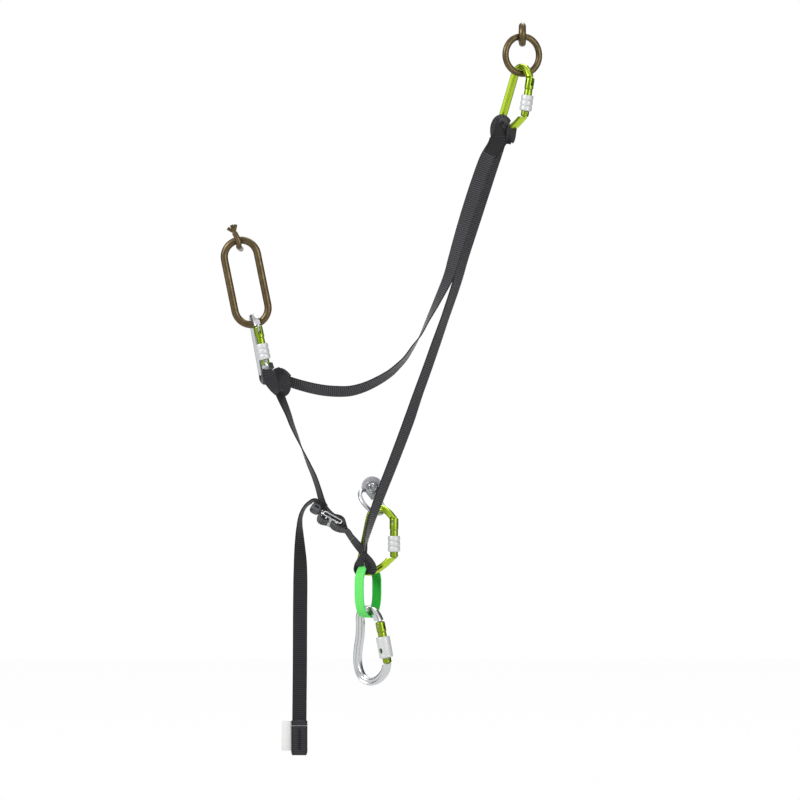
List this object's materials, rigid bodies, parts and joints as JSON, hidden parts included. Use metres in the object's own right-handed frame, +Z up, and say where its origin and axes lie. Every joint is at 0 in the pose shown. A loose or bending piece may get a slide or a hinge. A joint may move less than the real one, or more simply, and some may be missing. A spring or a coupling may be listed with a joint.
{
  "type": "adjustable belay station sling",
  "caption": "Adjustable webbing sling rigged between three wall anchors with locking carabiners, a tape ring and a slotted buckle.",
  "frame": {"origin": "axis of the hanger's bolt where it meets the wall", "axes": "+Y into the wall, +Z up along the station's length, +X to the right seen from the front"},
  "size_m": [0.4495, 0.1322, 1.0242],
  "materials": {
    "lime": "yellow-green anodised, polished",
    "silver": "clear anodised, satin",
    "bronze": "brown patina, worn",
    "zinc": "grey zinc plating",
    "steel": "polished stainless steel",
    "spring": "drawn spring wire",
    "webbing": "dark grey ribbed polyamide webbing",
    "tape": "bright green sewn tape",
    "label": "blank white woven label",
    "grip": "grey moulded grip"
  },
  "bodies": {
    "station": {"upper_eye_bolt": "bronze", "left_peg": "bronze", "left_link": "bronze", "hanger_plate": "zinc", "hanger_washer": "zinc", "hanger_bolt": "steel", "upper_frame": "lime", "left_frame": "silver", "centre_frame": "lime", "station_eye": "webbing", "webbing_long_leg": "webbing", "webbing_slack_leg": "webbing", "webbing_adjuster_leg": "webbing", "webbing_tail": "webbing", "webbing_buckle_tab": "webbing", "webbing_wrap": "webbing", "webbing_tab_loop": "webbing", "upper_knot": "webbing", "left_knot": "webbing", "buckle_frame": "steel", "buckle_pull_tab": "grip", "tail_hem": "webbing", "tail_label": "label"},
    "upper_ring_body": {"upper_ring": "bronze"},
    "hanger_ring_body": {"hanger_ring": "steel"},
    "upper_gate_body": {"upper_gate": "lime", "upper_hinge_pin": "steel", "upper_plunger": "steel", "upper_gate_spring": "spring"},
    "upper_sleeve_body": {"upper_sleeve": "silver"},
    "left_gate_body": {"left_gate": "lime", "left_hinge_pin": "steel", "left_plunger": "steel", "left_gate_spring": "spring"},
    "left_sleeve_body": {"left_sleeve": "silver"},
    "centre_gate_body": {"centre_gate": "lime", "centre_hinge_pin": "steel", "centre_plunger": "steel", "centre_gate_spring": "spring"},
    "centre_sleeve_body": {"centre_sleeve": "silver"},
    "tape_ring_body": {"station_ring": "tape"},
    "belay_carabiner_body": {"belay_frame": "silver"},
    "belay_gate_body": {"belay_gate": "lime", "belay_hinge_pin": "steel", "belay_plunger": "steel", "belay_gate_spring": "spring"},
    "belay_sleeve_body": {"belay_sleeve": "silver", "belay_sleeve_spring": "spring"},
    "lock_bar_body": {"buckle_locking_bar": "steel"}
  },
  "joints": [
    {"name": "upper_ring_spin", "type": "hinge", "parent": "station", "child": "upper_ring_body", "pos_m": [0.21, -0.042, 0.6045], "axis": [-0.4384, 0.8988, 0], "continuous": true},
    {"name": "hanger_ring_spin", "type": "hinge", "parent": "station", "child": "hanger_ring_body", "pos_m": [-0.0006, -0.028, -0.0205], "axis": [-0.6278, 0.4602, -0.6278], "continuous": true},
    {"name": "upper_gate_hinge", "type": "hinge", "parent": "station", "child": "upper_gate_body", "pos_m": [0.22014, -0.05957, 0.56647], "axis": [0.7894, 0.6018, -0.1208], "range_deg": [0, 25], "stiffness_Nm_per_rad": 0.03, "springref_deg": -20.05},
    {"name": "upper_sleeve_slide", "type": "slide", "parent": "upper_gate_body", "child": "upper_sleeve_body", "axis": [0.1513, 0, 0.9885], "range_m": [-0.004, 0.008]},
    {"name": "left_gate_hinge", "type": "hinge", "parent": "station", "child": "left_gate_body", "pos_m": [-0.15817, -0.06367, 0.21972], "axis": [0.9622, 0.1736, 0.2098], "range_deg": [0, 25], "stiffness_Nm_per_rad": 0.03, "springref_deg": -20.05},
    {"name": "left_sleeve_slide", "type": "slide", "parent": "left_gate_body", "child": "left_sleeve_body", "axis": [-0.213, 0, 0.977], "range_m": [-0.004, 0.008]},
    {"name": "centre_gate_hinge", "type": "hinge", "parent": "station", "child": "centre_gate_body", "pos_m": [0.03071, -0.04332, -0.0483], "axis": [0.342, 0.9397, 0], "range_deg": [0, 25], "stiffness_Nm_per_rad": 0.03, "springref_deg": -20.05},
    {"name": "centre_sleeve_slide", "type": "slide", "parent": "centre_gate_body", "child": "centre_sleeve_body", "axis": [0, 0, 1], "range_m": [-0.004, 0.008]},
    {"name": "tape_ring_swing", "type": "hinge", "parent": "station", "child": "tape_ring_body", "pos_m": [-0.00312, -0.03101, -0.1191], "axis": [-0.866, 0.5, 0], "range_deg": [0, 15]},
    {"name": "belay_swing", "type": "hinge", "parent": "tape_ring_body", "child": "belay_carabiner_body", "pos_m": [-0.00562, -0.03534, -0.17063], "axis": [-0.7641, 0.6293, -0.1416], "range_deg": [-4, 40]},
    {"name": "belay_gate_hinge", "type": "hinge", "parent": "belay_carabiner_body", "child": "belay_gate_body", "pos_m": [0.01196, -0.04603, -0.193], "axis": [0.6188, 0.7771, 0.1147], "range_deg": [0, 25], "stiffness_Nm_per_rad": 0.04, "springref_deg": -20.05},
    {"name": "belay_sleeve_twist", "type": "hinge", "parent": "belay_gate_body", "child": "belay_sleeve_body", "pos_m": [0.01633, -0.04603, -0.2166], "axis": [-0.1822, 0, 0.9833], "range_deg": [0, 90], "stiffness_Nm_per_rad": 0.01, "springref_deg": -20.05},
    {"name": "lock_bar_slide", "type": "slide", "parent": "station", "child": "lock_bar_body", "axis": [0.8746, 0, -0.4848], "range_m": [-0.001, 0.001]}
  ]
}
